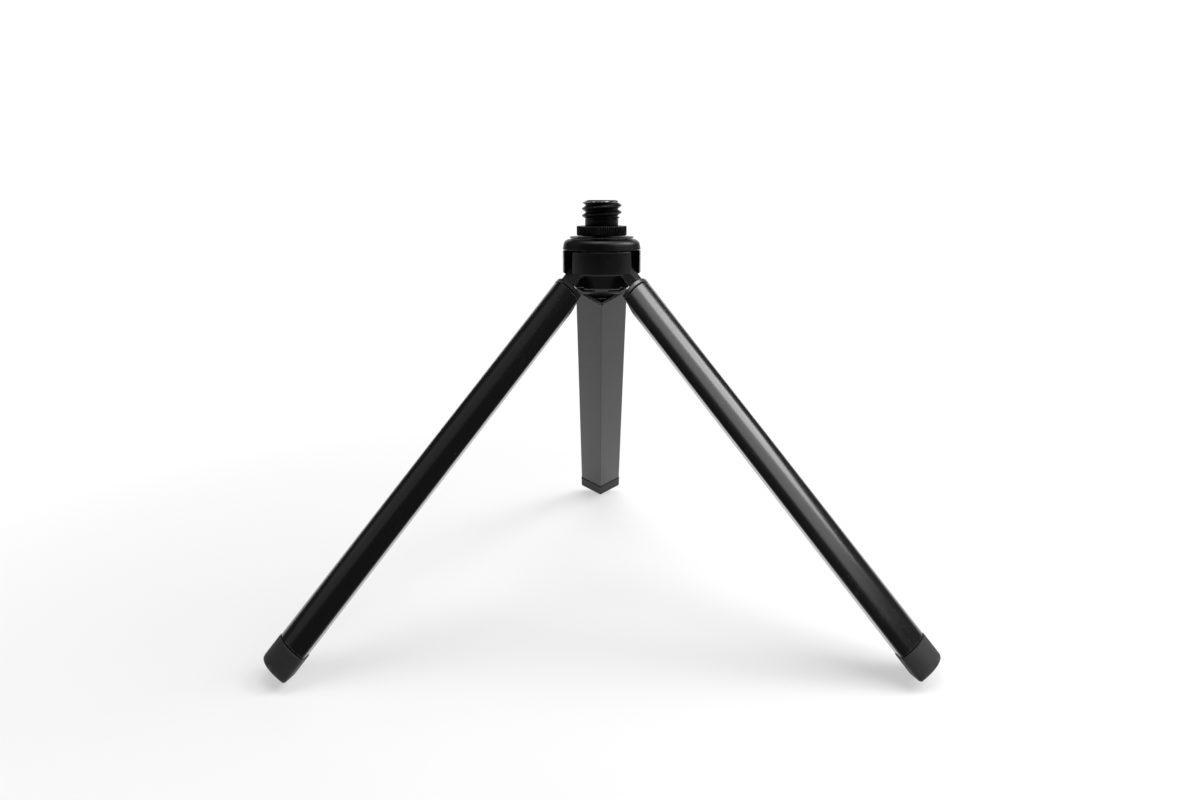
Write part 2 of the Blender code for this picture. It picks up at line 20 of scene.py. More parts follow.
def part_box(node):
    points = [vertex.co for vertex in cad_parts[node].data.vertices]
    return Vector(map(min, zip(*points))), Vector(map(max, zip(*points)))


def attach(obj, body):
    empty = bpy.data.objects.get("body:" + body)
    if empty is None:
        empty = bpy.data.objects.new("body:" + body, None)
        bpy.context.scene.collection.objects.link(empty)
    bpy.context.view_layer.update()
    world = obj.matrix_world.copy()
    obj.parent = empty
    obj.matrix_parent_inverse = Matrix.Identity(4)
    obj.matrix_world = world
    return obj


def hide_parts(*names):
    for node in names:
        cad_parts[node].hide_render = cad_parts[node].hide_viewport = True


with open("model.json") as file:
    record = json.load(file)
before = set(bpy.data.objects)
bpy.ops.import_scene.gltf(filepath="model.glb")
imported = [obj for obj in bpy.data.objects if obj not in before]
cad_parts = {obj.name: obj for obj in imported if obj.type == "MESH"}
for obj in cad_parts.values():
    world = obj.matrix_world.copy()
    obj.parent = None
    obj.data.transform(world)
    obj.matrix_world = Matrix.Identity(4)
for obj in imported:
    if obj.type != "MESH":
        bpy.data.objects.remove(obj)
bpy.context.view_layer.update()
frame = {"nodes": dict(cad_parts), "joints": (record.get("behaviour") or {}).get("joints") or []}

LOG = logging.getLogger("tripod")
MM = 0.001
FULL_TURN = 2 * math.pi
HERE = Matrix.Identity(4)
Colour = tuple[float, float, float]
Point = tuple[float, float]


class Slot(Enum):
    """The record's material slots."""

    HEAD = "head_plastic"
    WASHER = "washer_black"
    STUD = "stud_black"
    COLLAR = "collar_black"
    PLATED = "plated_steel"
    CLIP = "clip_plated"
    COAT = "leg_paint"
    INSERT = "insert_plastic"
    RUBBER = "foot_rubber"


class Body(Enum):
    """The bodies of the head; each leg's own body is named after its side."""

    HEAD = "head"
    STUD = "stud"


# ---------------------------------------------------------------- shader maths


class Signal:
    """A shader socket that takes part in Python arithmetic."""

    def __init__(self, book: "NodeBook", socket: bpy.types.NodeSocket) -> None:
        """Wraps a socket.

        Args:
            book: The material's nodes.
            socket: An output socket among them.
        """
        self.book = book
        self.socket = socket

    def maths(self, operation: str, *values: "Signal | float", clamp: bool = False) -> "Signal":
        """Adds a Math node.

        Args:
            operation: The node's operation.
            values: Its inputs in order.
            clamp: Whether the result stays from 0 to 1.

        Returns:
            The result.
        """
        settings = {"operation": operation, "use_clamp": clamp}
        return self.book.signal("ShaderNodeMath", settings, dict(enumerate(values)))

    def __add__(self, other: "Signal | float") -> "Signal":
        """The sum."""
        return self.maths("ADD", self, other)

    def __radd__(self, other: float) -> "Signal":
        """The sum, with the number first."""
        return self.maths("ADD", other, self)

    def __sub__(self, other: "Signal | float") -> "Signal":
        """The difference."""
        return self.maths("SUBTRACT", self, other)

    def __rsub__(self, other: float) -> "Signal":
        """The difference, from a number."""
        return self.maths("SUBTRACT", other, self)

    def __mul__(self, other: "Signal | float") -> "Signal":
        """The product."""
        return self.maths("MULTIPLY", self, other)

    def __rmul__(self, other: float) -> "Signal":
        """The product, with the number first."""
        return self.maths("MULTIPLY", other, self)

    def __truediv__(self, other: "Signal | float") -> "Signal":
        """The quotient."""
        return self.maths("DIVIDE", self, other)

    def __abs__(self) -> "Signal":
        """The size without its sign."""
        return self.maths("ABSOLUTE", self)

    def ramp(self, low: float, high: float) -> "Signal":
        """A smooth rise from 0 at low to 1 at high; it falls if high is the smaller.

        Args:
            low: Where it is 0.
            high: Where it is 1.

        Returns:
            The eased share.
        """
        rising = low < high
        ends = (low, high) if rising else (high, low)
        values = {"Value": self, "From Min": ends[0], "From Max": ends[1]}
        settings = {"interpolation_type": "SMOOTHSTEP"}
        eased = self.book.signal("ShaderNodeMapRange", settings, values)
        return eased if rising else 1 - eased

    def wave(self, length: float) -> "Signal":
        """A sine from -1 to 1 that repeats at each length of this signal."""
        return self.maths("SINE", self * (FULL_TURN / length))

    def most(self, other: "Signal | float") -> "Signal":
        """The larger of the two."""
        return self.maths("MAXIMUM", self, other)


class NodeBook:
    """One material's nodes, and the one way in which they are added."""

    def __init__(self, tree: bpy.types.NodeTree) -> None:
        """Takes over a node tree."""
        self.tree = tree

    def add(
        self,
        kind: str,
        settings: dict[str, Any] | None = None,
        values: dict[str | int, Any] | None = None,
    ) -> bpy.types.Node:
        """Adds a node.

        Args:
            kind: The node's type.
            settings: Its own settings, set first.
            values: Numbers, colours or signals for its inputs.

        Returns:
            The node.
        """
        node = self.tree.nodes.new(kind)
        for key, value in (settings or {}).items():
            setattr(node, key, value)
        for key, value in (values or {}).items():
            if isinstance(value, Signal):
                self.tree.links.new(value.socket, node.inputs[key])
            else:
                node.inputs[key].default_value = value
        return node

    def signal(
        self,
        kind: str,
        settings: dict[str, Any] | None = None,
        values: dict[str | int, Any] | None = None,
        output: str | int = 0,
    ) -> Signal:
        """Adds a node and returns one of its outputs."""
        return Signal(self, self.add(kind, settings, values).outputs[output])


class Paint(NodeBook):
    """A Principled material in the making, with the patterns that the finishes share."""

    def __init__(self, name: str, place: Matrix, **constants: Any) -> None:
        """Starts a material.

        Args:
            name: The material's name.
            place: The frame that its patterns follow.
            constants: Values that are the same all over, by the shader's socket name.
        """
        self.material = bpy.data.materials.new(name)
        self.material.use_nodes = True
        super().__init__(self.material.node_tree)
        self.shader = self.tree.nodes["Principled BSDF"]
        for key, value in constants.items():
            self.shader.inputs[key.replace("_", " ")].default_value = value
        spot, turn, _ = place.decompose()
        found = self.signal("ShaderNodeTexCoord", output="Object")
        self.where = self.signal(
            "ShaderNodeMapping",
            {"vector_type": "TEXTURE"},
            {"Vector": found, "Location": spot, "Rotation": turn.to_euler()},
        )
        split = self.add("ShaderNodeSeparateXYZ", None, {0: self.where})
        self.across, self.side, self.along = (Signal(self, out) for out in split.outputs)

    def stretched(self, scale: Colour, shift: float = 0.0) -> Signal:
        """The place with each direction scaled, so that a pattern on it is drawn out.

        Args:
            scale: The factor for each direction.
            shift: Moves the pattern, so that two layers differ.

        Returns:
            The changed place.
        """
        return self.signal(
            "ShaderNodeVectorMath",
            {"operation": "MULTIPLY_ADD"},
            {0: self.where, 1: scale, 2: (shift, shift, shift)},
        )

    def noise(
        self, size: float, detail: float = 2.0, rough: float = 0.5, at: Signal | None = None
    ) -> Signal:
        """Noise with patches of about the given size, from 0 to 1."""
        values = {"Vector": at or self.where, "Scale": 1 / size, "Detail": detail, "Roughness": rough}
        return self.signal("ShaderNodeTexNoise", None, values)

    def cells(self, size: float, at: Signal | None = None) -> Signal:
        """The distance to the nearest of scattered points, in shares of their spacing."""
        values = {"Vector": at or self.where, "Scale": 1 / size}
        return self.signal("ShaderNodeTexVoronoi", None, values)

    def round_axis(self) -> Signal:
        """The distance from the frame's Z axis."""
        flat = self.signal("ShaderNodeCombineXYZ", None, {0: self.across, 1: self.side})
        return self.signal("ShaderNodeVectorMath", {"operation": "LENGTH"}, {0: flat}, "Value")

    def mixed(self, share: Signal | float, first: Any, second: Any) -> Signal:
        """A colour between two, by a share."""
        low, high = (
            value if isinstance(value, Signal) else (*value, 1.0) for value in (first, second)
        )
        values = {0: share, 6: low, 7: high}
        return self.signal("ShaderNodeMix", {"data_type": "RGBA"}, values, 2)

    def feed(self, **signals: Signal) -> None:
        """Links signals to the shader's sockets."""
        for key, signal in signals.items():
            self.tree.links.new(signal.socket, self.shader.inputs[key.replace("_", " ")])

    def relief(self, height: Signal, depth: float) -> None:
        """Gives the surface a fine relief.

        Args:
            height: The relief from 0 to 1.
            depth: How far 1 stands above 0, in metres.
        """
        values = {"Height": height, "Distance": depth, "Strength": 1.0}
        self.feed(Normal=self.signal("ShaderNodeBump", None, values))


# ---------------------------------------------------------------- finishes


@dataclass(frozen=True)
class MouldedPlastic:
    """Black moulded plastic with a fine spark-eroded grain and a little dust."""

    name: str
    slot: Slot
    colour: Colour
    rough: float
    grain: float = 0.16 * MM
    depth: float = 0.010 * MM
    dust: Colour = (0.16, 0.15, 0.14)
    sheen: float = 0.4

    def make(self, place: Matrix) -> bpy.types.Material:
        """The material.

        Args:
            place: The frame that the grain follows.

        Returns:
            A new material.
        """
        paint = Paint(self.name, place, Specular_IOR_Level=self.sheen)
        grain = paint.noise(self.grain, 3.0, 0.6)
        cloud = paint.noise(3.0 * MM, 3.0)
        flow = paint.noise(1.1 * MM, 2.0, at=paint.stretched((0.25, 0.25, 1.6), 0.3))
        specks = paint.cells(0.9 * MM).ramp(0.10, 0.04) * paint.noise(2.2 * MM).ramp(0.52, 0.66)
        deep = tuple(0.72 * value for value in self.colour)
        body = paint.mixed(cloud.ramp(0.35, 0.68), deep, self.colour)
        paint.feed(
            Base_Color=paint.mixed(specks * 0.5, body, self.dust),
            Roughness=self.rough + (cloud - 0.5) * 0.14 + (flow - 0.5) * 0.10 + specks * 0.25,
        )
        paint.relief(grain + flow * 0.5, self.depth)
        return paint.material


@dataclass(frozen=True)
class BlackedSteel:
    """Turned steel with a black oxide, rubbed bright where it stands furthest out, with a painted
    highlight: a top chamfer painted bare-bright in place of its reflection of the lamps.
    """

    name: str
    slot: Slot
    colour: Colour
    rough: float
    rub_radius: float
    rub_width: float = 0.10 * MM
    rub_share: float = 0.5
    bare: Colour = (0.34, 0.34, 0.35)
    lathe_pitch: float = 0.09 * MM
    # The top chamfer's painted highlight: painted bare-bright above this height and beyond this radius,
    # eased over this edge; the default height leaves it off.
    painted_highlight: float = 1.0
    painted_highlight_radius: float = 0.0
    painted_highlight_edge: float = 0.06 * MM

    def make(self, place: Matrix) -> bpy.types.Material:
        """The material.

        Args:
            place: The frame whose Z axis it was turned about.

        Returns:
            A new material.
        """
        paint = Paint(self.name, place, Metallic=0.9)
        radius = paint.round_axis()
        broken = paint.noise(0.35 * MM, 4.0, 0.65)
        rings = (paint.along + radius).wave(self.lathe_pitch) * 0.5 + 0.5
        edge = radius.ramp(self.rub_radius - self.rub_width, self.rub_radius)
        rubbed = edge * broken.ramp(0.38, 0.62) * self.rub_share
        # Painted highlight: the top chamfer is painted almost wholly bare-bright, standing in for its
        # reflection of the lamps.
        painted_highlight = paint.along.ramp(self.painted_highlight - self.painted_highlight_edge, self.painted_highlight + self.painted_highlight_edge)
        painted_highlight = painted_highlight * radius.ramp(self.painted_highlight_radius - self.painted_highlight_edge, self.painted_highlight_radius)
        # From here the mask holds both the real rub on the crests and the painted highlight on the
        # chamfer, and both take the bare colour.
        rubbed = rubbed.most(painted_highlight * (0.9 + broken * 0.1))
        stain = paint.noise(1.6 * MM, 3.0)
        deep = tuple(0.6 * value for value in self.colour)
        body = paint.mixed(stain, deep, self.colour)
        paint.feed(
            Base_Color=paint.mixed(rubbed, body, self.bare),
            Roughness=self.rough + (stain - 0.5) * 0.16 - rubbed * 0.08 + (broken - 0.5) * 0.10,
        )
        paint.relief(rings * 0.6 + broken * 0.4, 0.006 * MM)
        return paint.material


@dataclass(frozen=True)
class PlatedSteel:
    """Bright plated steel with fine drawing lines and a faint stain."""

    name: str
    slot: Slot
    colour: Colour
    rough: float
    stain: Colour = (0.30, 0.24, 0.17)

    def make(self, place: Matrix) -> bpy.types.Material:
        """The material.

        Args:
            place: The frame whose Z axis it was drawn along.

        Returns:
            A new material.
        """
        paint = Paint(self.name, place, Metallic=1.0)
        lines = paint.noise(0.10 * MM, 3.0, 0.6, at=paint.stretched((1.0, 1.0, 0.05)))
        cloud = paint.noise(0.8 * MM, 4.0)
        tarnish = cloud.ramp(0.56, 0.74) * 0.55
        paint.feed(
            Base_Color=paint.mixed(tarnish, self.colour, self.stain),
            Roughness=self.rough + (lines - 0.5) * 0.12 + tarnish * 0.2,
        )
        paint.relief(lines, 0.004 * MM)
        return paint.material


@dataclass(frozen=True)
class LegCoat:
    """Semi-gloss black coat on a drawn aluminium section, rubbed through at its cut ends."""

    name: str
    slot: Slot
    colour: Colour
    rough: float
    top: float
    bottom: float
    shift: float
    slant: float
    bare: Colour = (0.42, 0.42, 0.43)
    scuff: Colour = (0.07, 0.07, 0.072)

    def make(self, place: Matrix) -> bpy.types.Material:
        """The material.

        Args:
            place: The leg's frame, whose Z axis it was drawn along.

        Returns:
            A new material.
        """
        paint = Paint(self.name, place, Specular_IOR_Level=0.5)
        drawn = paint.noise(0.22 * MM, 3.0, 0.6, at=paint.stretched((1.0, 1.0, 0.012), self.shift))
        peel = paint.noise(0.55 * MM, 2.0, at=paint.stretched((1.0, 1.0, 0.8), self.shift))
        cloud = paint.noise(9.0 * MM, 3.0, at=paint.stretched((1.0, 1.0, 0.35), self.shift))
        fine = self.scratches(paint, (1.0, 0.9, 0.06), 0.4)
        scratch = fine + self.scratches(paint, (0.5, 1.0, 0.12), 0.9)
        levelled = paint.along - paint.across * self.slant
        end = levelled.ramp(self.top - 0.22 * MM, self.top - 0.04 * MM).most(
            paint.along.ramp(self.bottom + 0.22 * MM, self.bottom + 0.04 * MM)
        )
        rubbed = end * paint.noise(0.5 * MM, 4.0, 0.7).ramp(0.36, 0.60)
        dust = paint.cells(1.3 * MM).ramp(0.07, 0.03) * paint.noise(4.0 * MM).ramp(0.50, 0.64)
        marked = paint.mixed(scratch * 0.30 + dust * 0.5, self.colour, self.scuff)
        paint.feed(
            Base_Color=paint.mixed(rubbed * 0.8, marked, self.bare),
            Metallic=rubbed,
            Roughness=(
                self.rough + (cloud - 0.5) * 0.12 + (drawn - 0.5) * 0.06 + scratch * 0.16 + dust * 0.3
            ),
        )
        paint.relief(drawn * 0.35 + peel * 0.65 - scratch * 0.3, 0.0035 * MM)
        return paint.material

    def scratches(self, paint: Paint, lean: Colour, shift: float) -> Signal:
        """Sparse hairlines drawn out along the leg.

        Args:
            paint: The material in the making.
            lean: How each direction is scaled before the pattern is read.
            shift: Moves them off the other set.

        Returns:
            Their mask, from 0 to 1.
        """
        lines = paint.noise(0.5 * MM, 1.0, at=paint.stretched(lean, self.shift + shift))
        patch = paint.noise(7.0 * MM, 2.0, at=paint.stretched((1.0, 1.0, 0.4), shift))
        return abs(lines - 0.5).ramp(0.006, 0.001) * patch.ramp(0.50, 0.62)


@dataclass(frozen=True)
class FootRubber:
    """Matte dark rubber with a fine grain, a mould seam and dust where it meets the table."""

    name: str
    slot: Slot
    colour: Colour
    rough: float
    bottom: float
    dust: Colour = (0.10, 0.098, 0.095)

    def make(self, place: Matrix) -> bpy.types.Material:
        """The material.

        Args:
            place: The leg's frame.

        Returns:
            A new material.
        """
        paint = Paint(self.name, place, Specular_IOR_Level=0.35)
        grain = paint.noise(0.12 * MM, 3.0, 0.65)
        cloud = paint.noise(1.8 * MM, 4.0, 0.6)
        seam = abs(paint.side).ramp(0.09 * MM, 0.03 * MM)
        low = paint.along.ramp(self.bottom + 1.6 * MM, self.bottom)
        dusty = low * cloud.ramp(0.40, 0.66) * 0.6 + grain.ramp(0.60, 0.78) * 0.18
        deep = tuple(0.75 * value for value in self.colour)
        body = paint.mixed(cloud, deep, self.colour)
        paint.feed(
            Base_Color=paint.mixed(dusty, body, self.dust),
            Roughness=self.rough + (cloud - 0.5) * 0.14 + (grain - 0.5) * 0.12,
        )
        paint.relief(grain * 0.6 + cloud * 0.3 + seam * 0.8, 0.020 * MM)
        return paint.material


# ---------------------------------------------------------------- shapes


class Form:
    """A shape in the making: a bmesh in its own frame, worked with operators."""

    CORNER_SEGMENTS = 5
    MERGE = 0.0005 * MM

    def __init__(self) -> None:
        """Starts with nothing."""
        self.bm = bmesh.new()

    @classmethod
    def of_node(cls, node: str, place: Matrix = HERE) -> "Form":
        """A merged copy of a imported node, whose flat faces are whole again.

        Args:
            node: The node's name.
            place: The frame to bring it back from.

        Returns:
            The copy.
        """
        form = cls()
        form.bm.from_mesh(frame["nodes"][node].data)
        bmesh.ops.transform(form.bm, matrix=place.inverted(), verts=form.bm.verts)
        bmesh.ops.remove_doubles(form.bm, verts=form.bm.verts, dist=form.MERGE)
        bmesh.ops.dissolve_limit(
            form.bm, angle_limit=math.radians(0.6), verts=form.bm.verts, edges=form.bm.edges
        )
        return form

    def outline(
        self, points: Sequence[Point], soften: Sequence[float], upright: bool = False
    ) -> list[Any]:
        """A closed flat outline with its corners rounded by a vertex bevel.

        Args:
            points: Its corners, as (x, y), or as (radius, height) if it is upright.
            soften: How far along its sides each corner is cut; 0 leaves it.
            upright: Whether it stands in the XZ plane, to be turned about Z.

        Returns:
            Its edges.
        """
        before = set(self.bm.edges)
        corners = [self.bm.verts.new((x, 0.0, y) if upright else (x, y, 0.0)) for x, y in points]
        self.bm.faces.new(corners)
        for width in sorted({value for value in soften if value > 0}):
            chosen = [corner for corner, value in zip(corners, soften) if value == width]
            self.bevel(chosen, width, self.CORNER_SEGMENTS, "VERTICES")
        face = next(face for face in self.bm.faces if not before.intersection(face.edges))
        edges = list(face.edges)
        bmesh.ops.delete(self.bm, geom=[face], context="FACES_ONLY")
        return edges

    @classmethod
    def turned(cls, points: Sequence[Point], soften: Sequence[float], steps: int) -> "Form":
        """A ring turned about Z from a closed profile that stays off the axis.

        Args:
            points: The profile's corners as (radius, height).
            soften: How far each corner is rounded.
            steps: How many steps make the full turn.

        Returns:
            The ring.
        """
        form = cls()
        edges = form.outline(points, soften, upright=True)
        ends = list({vert for edge in edges for vert in edge.verts})
        bmesh.ops.spin(
            form.bm, geom=ends + edges, cent=(0, 0, 0), axis=(0, 0, 1),
            angle=FULL_TURN, steps=steps, use_merge=True,
        )
        return form

    @classmethod
    def prism(
        cls, points: Sequence[Point], soften: Sequence[float], bottom: float, top: float
    ) -> "Form":
        """An outline carried from one height to another, closed at both ends."""
        form = cls()
        edges = form.outline(points, soften)
        bmesh.ops.contextual_create(form.bm, geom=edges)
        form.carry(bottom, top)
        return form

    def carry(self, bottom: float, top: float) -> None:
        """Extrudes every face upward and sets the result between two heights."""
        grown = bmesh.ops.extrude_face_region(self.bm, geom=self.bm.faces[:])
        moved = [item for item in grown["geom"] if isinstance(item, bmesh.types.BMVert)]
        bmesh.ops.translate(self.bm, verts=moved, vec=(0, 0, top - bottom))
        bmesh.ops.translate(self.bm, verts=self.bm.verts, vec=(0, 0, bottom))

    @classmethod
    def block(cls, low: Sequence[float], high: Sequence[float]) -> "Form":
        """A block between two corners."""
        form = cls()
        bmesh.ops.create_cube(form.bm, size=1.0)
        bmesh.ops.scale(form.bm, verts=form.bm.verts, vec=Vector(high) - Vector(low))
        bmesh.ops.translate(form.bm, verts=form.bm.verts, vec=(Vector(high) + Vector(low)) / 2)
        return form

    @classmethod
    def rod(cls, radius: float, length: float, steps: int, sides: str = "Z") -> "Form":
        """A round rod centred on the origin, along Z or along Y."""
        form = cls()
        bmesh.ops.create_cone(
            form.bm, cap_ends=True, segments=steps, radius1=radius, radius2=radius, depth=length
        )
        if sides == "Y":
            turn = Matrix.Rotation(math.pi / 2, 3, "X")
            bmesh.ops.rotate(form.bm, verts=form.bm.verts, cent=(0, 0, 0), matrix=turn)
        return form

    def bevel(self, geom: list[Any], width: float, segments: int, affect: str = "EDGES") -> None:
        """Bevels edges or corners.

        Args:
            geom: The edges, or the vertices.
            width: How far the bevel reaches.
            segments: How many faces it has.
            affect: EDGES or VERTICES.
        """
        bmesh.ops.bevel(
            self.bm, geom=geom, offset=width, offset_type="OFFSET", segments=segments,
            profile=0.5, affect=affect, material=-1, clamp_overlap=False,
        )

    def crisp(self, angle: float, keep: Callable[[Any], bool] = lambda edge: True) -> list[Any]:
        """The edges whose faces meet at more than an angle.

        Args:
            angle: The least angle, in degrees.
            keep: A test that each edge also passes.

        Returns:
            Those edges.
        """
        self.bm.normal_update()
        limit = math.radians(angle)
        return [
            edge
            for edge in self.bm.edges
            if edge.is_manifold and edge.calc_face_angle() > limit and keep(edge)
        ]

    @classmethod
    def is_level(cls, edge: Any) -> bool:
        """Whether an edge lies at one height."""
        return abs(edge.verts[0].co.z - edge.verts[1].co.z) < cls.MERGE

    def ease(
        self, width: float, angle: float = 40.0, keep: Callable[[Any], bool] = lambda edge: True
    ) -> None:
        """Takes a small flat off each crisp edge, as a real edge has."""
        self.bevel(self.crisp(angle, keep), width, 1)

    def mesh(self, name: str) -> bpy.types.Mesh:
        """The finished mesh, merged and with its faces outward."""
        bmesh.ops.remove_doubles(self.bm, verts=self.bm.verts, dist=self.MERGE)
        bmesh.ops.recalc_face_normals(self.bm, faces=self.bm.faces)
        made = bpy.data.meshes.new(name)
        self.bm.to_mesh(made)
        self.bm.free()
        return made

    def joined(self, others: Iterable["Form"], operation: str = "UNION") -> "Form":
        """This shape with others added to it or cut from it.

        Args:
            others: Closed shapes.
            operation: UNION or DIFFERENCE.

        Returns:
            The result as a new shape.
        """
        base = bpy.data.objects.new("base", self.mesh("base"))
        helpers = [bpy.data.objects.new("helper", other.mesh("helper")) for other in others]
        for item in [base, *helpers]:
            bpy.context.scene.collection.objects.link(item)
        for helper in helpers:
            step = base.modifiers.new("step", "BOOLEAN")
            step.operation = operation
            step.solver = "EXACT"
            step.object = helper
        bpy.context.view_layer.update()
        graph = bpy.context.evaluated_depsgraph_get()
        result = Form()
        result.bm.from_object(base, graph)
        for item in [base, *helpers]:
            bpy.data.objects.remove(item, do_unlink=True)
        bmesh.ops.remove_doubles(result.bm, verts=result.bm.verts, dist=self.MERGE)
        return result

    def show(self, node: str, name: str, body: str, slot: Slot, material: bpy.types.Material,
             place: Matrix = HERE, sharp: float = 32.0) -> bpy.types.Object:
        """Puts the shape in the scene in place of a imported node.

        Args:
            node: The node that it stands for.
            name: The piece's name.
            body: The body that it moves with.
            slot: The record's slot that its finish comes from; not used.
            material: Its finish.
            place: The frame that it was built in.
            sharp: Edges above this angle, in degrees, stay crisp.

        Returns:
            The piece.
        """
        mesh = self.mesh(name)
        mesh.transform(place)
        mesh.materials.clear()
        mesh.materials.append(material)
        mesh.shade_smooth()
        mesh.set_sharp_from_angle(angle=math.radians(sharp))
        piece = bpy.data.objects.new(name, mesh)
        bpy.context.scene.collection.objects.link(piece)
        weigh = piece.modifiers.new("even_normals", "WEIGHTED_NORMAL")
        weigh.keep_sharp = True
        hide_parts(node)
        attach(piece, body)
        LOG.info("%s: %d faces, rides on %s", name, len(mesh.polygons), body)
        return piece


# ---------------------------------------------------------------- head and stud


@dataclass
class Head:
    """The slotted hub, its cap with feet over the hinge pins between them, and the washer."""

    cap_edge: float = 1.1 * MM
    cap_draft: float = 0.45 * MM
    bore: float = 2.3 * MM
    bore_ease: float = 0.2 * MM
    rim_ease: float = 0.12 * MM
    hub_ease: float = 0.14 * MM
    washer_ease: float = 0.06 * MM
    pin_foot_half: float = 0.9 * MM
    pin_foot_clear: float = 0.6 * MM
    steps: int = 128
    plastic: MouldedPlastic = MouldedPlastic(
        "head_black_plastic", Slot.HEAD, (0.0045, 0.0045, 0.005), 0.34, sheen=0.26
    )

    def build(self) -> None:
        """Makes every piece that stays with the head."""
        self.build_hub()
        self.build_cap()
        self.build_washer()

    def build_hub(self) -> None:
        """The hub with its slots and boss, every edge eased."""
        form = Form.of_node("hub_body")
        form.ease(self.hub_ease)
        form.show("hub_body", "hub_block", Body.HEAD.value, self.plastic.slot, self.plastic.make(HERE))

    def build_cap(self) -> None:
        """The rounded cap, with the feet that hold the hinge pins down."""
        low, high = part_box("head_cap")
        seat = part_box("hub_body")[1].z + self.stack_gap()
        rim = high.x
        profile = [(self.bore, seat), (rim, seat), (rim - self.cap_draft, high.z), (self.bore, high.z)]
        soften = [0.0, self.rim_ease, self.cap_edge, self.bore_ease]
        form = Form.turned(profile, soften, self.steps)
        feet = [self.pin_foot(leg, side, low.z, seat) for leg in leg_frames() for side in (-1, 1)]
        form.joined(feet).show(
            "head_cap", "head_cap_shell", Body.HEAD.value, self.plastic.slot, self.plastic.make(HERE)
        )

    def stack_gap(self) -> float:
        """The gap between stacked pieces of the head, read between the cap and the washer."""
        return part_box("top_washer")[0].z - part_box("head_cap")[1].z

    def pin_foot(self, leg: "LegFrame", side: int, bottom: float, seat: float) -> Form:
        """One foot of the cap, over one end of a hinge pin."""
        pin = leg.local_box(f"hinge_pin_{leg.side}", leg.upright)
        slot = LegInsert.lug_half + self.pin_foot_clear
        ends = sorted((side * slot, side * pin[1].y))
        form = Form.block(
            (-self.pin_foot_half, ends[0], bottom - leg.pivot.z),
            (self.pin_foot_half, ends[1], seat + self.cap_edge - leg.pivot.z),
        )
        bmesh.ops.transform(form.bm, matrix=leg.upright, verts=form.bm.verts)
        return form

    def build_washer(self) -> None:
        """The thin washer that the collar turns on."""
        low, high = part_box("top_washer")
        profile = [(self.bore, low.z), (high.x, low.z), (high.x, high.z), (self.bore, high.z)]
        finish = BlackedSteel(
            "washer_blacked", Slot.WASHER, (0.012, 0.012, 0.013), 0.40, high.x, 0.10 * MM, 0.25
        )
        soften = [0.0, self.washer_ease, self.washer_ease, 0.0]
        form = Form.turned(profile, soften, self.steps)
        form.show("top_washer", "washer_disc", Body.HEAD.value, finish.slot, finish.make(HERE))


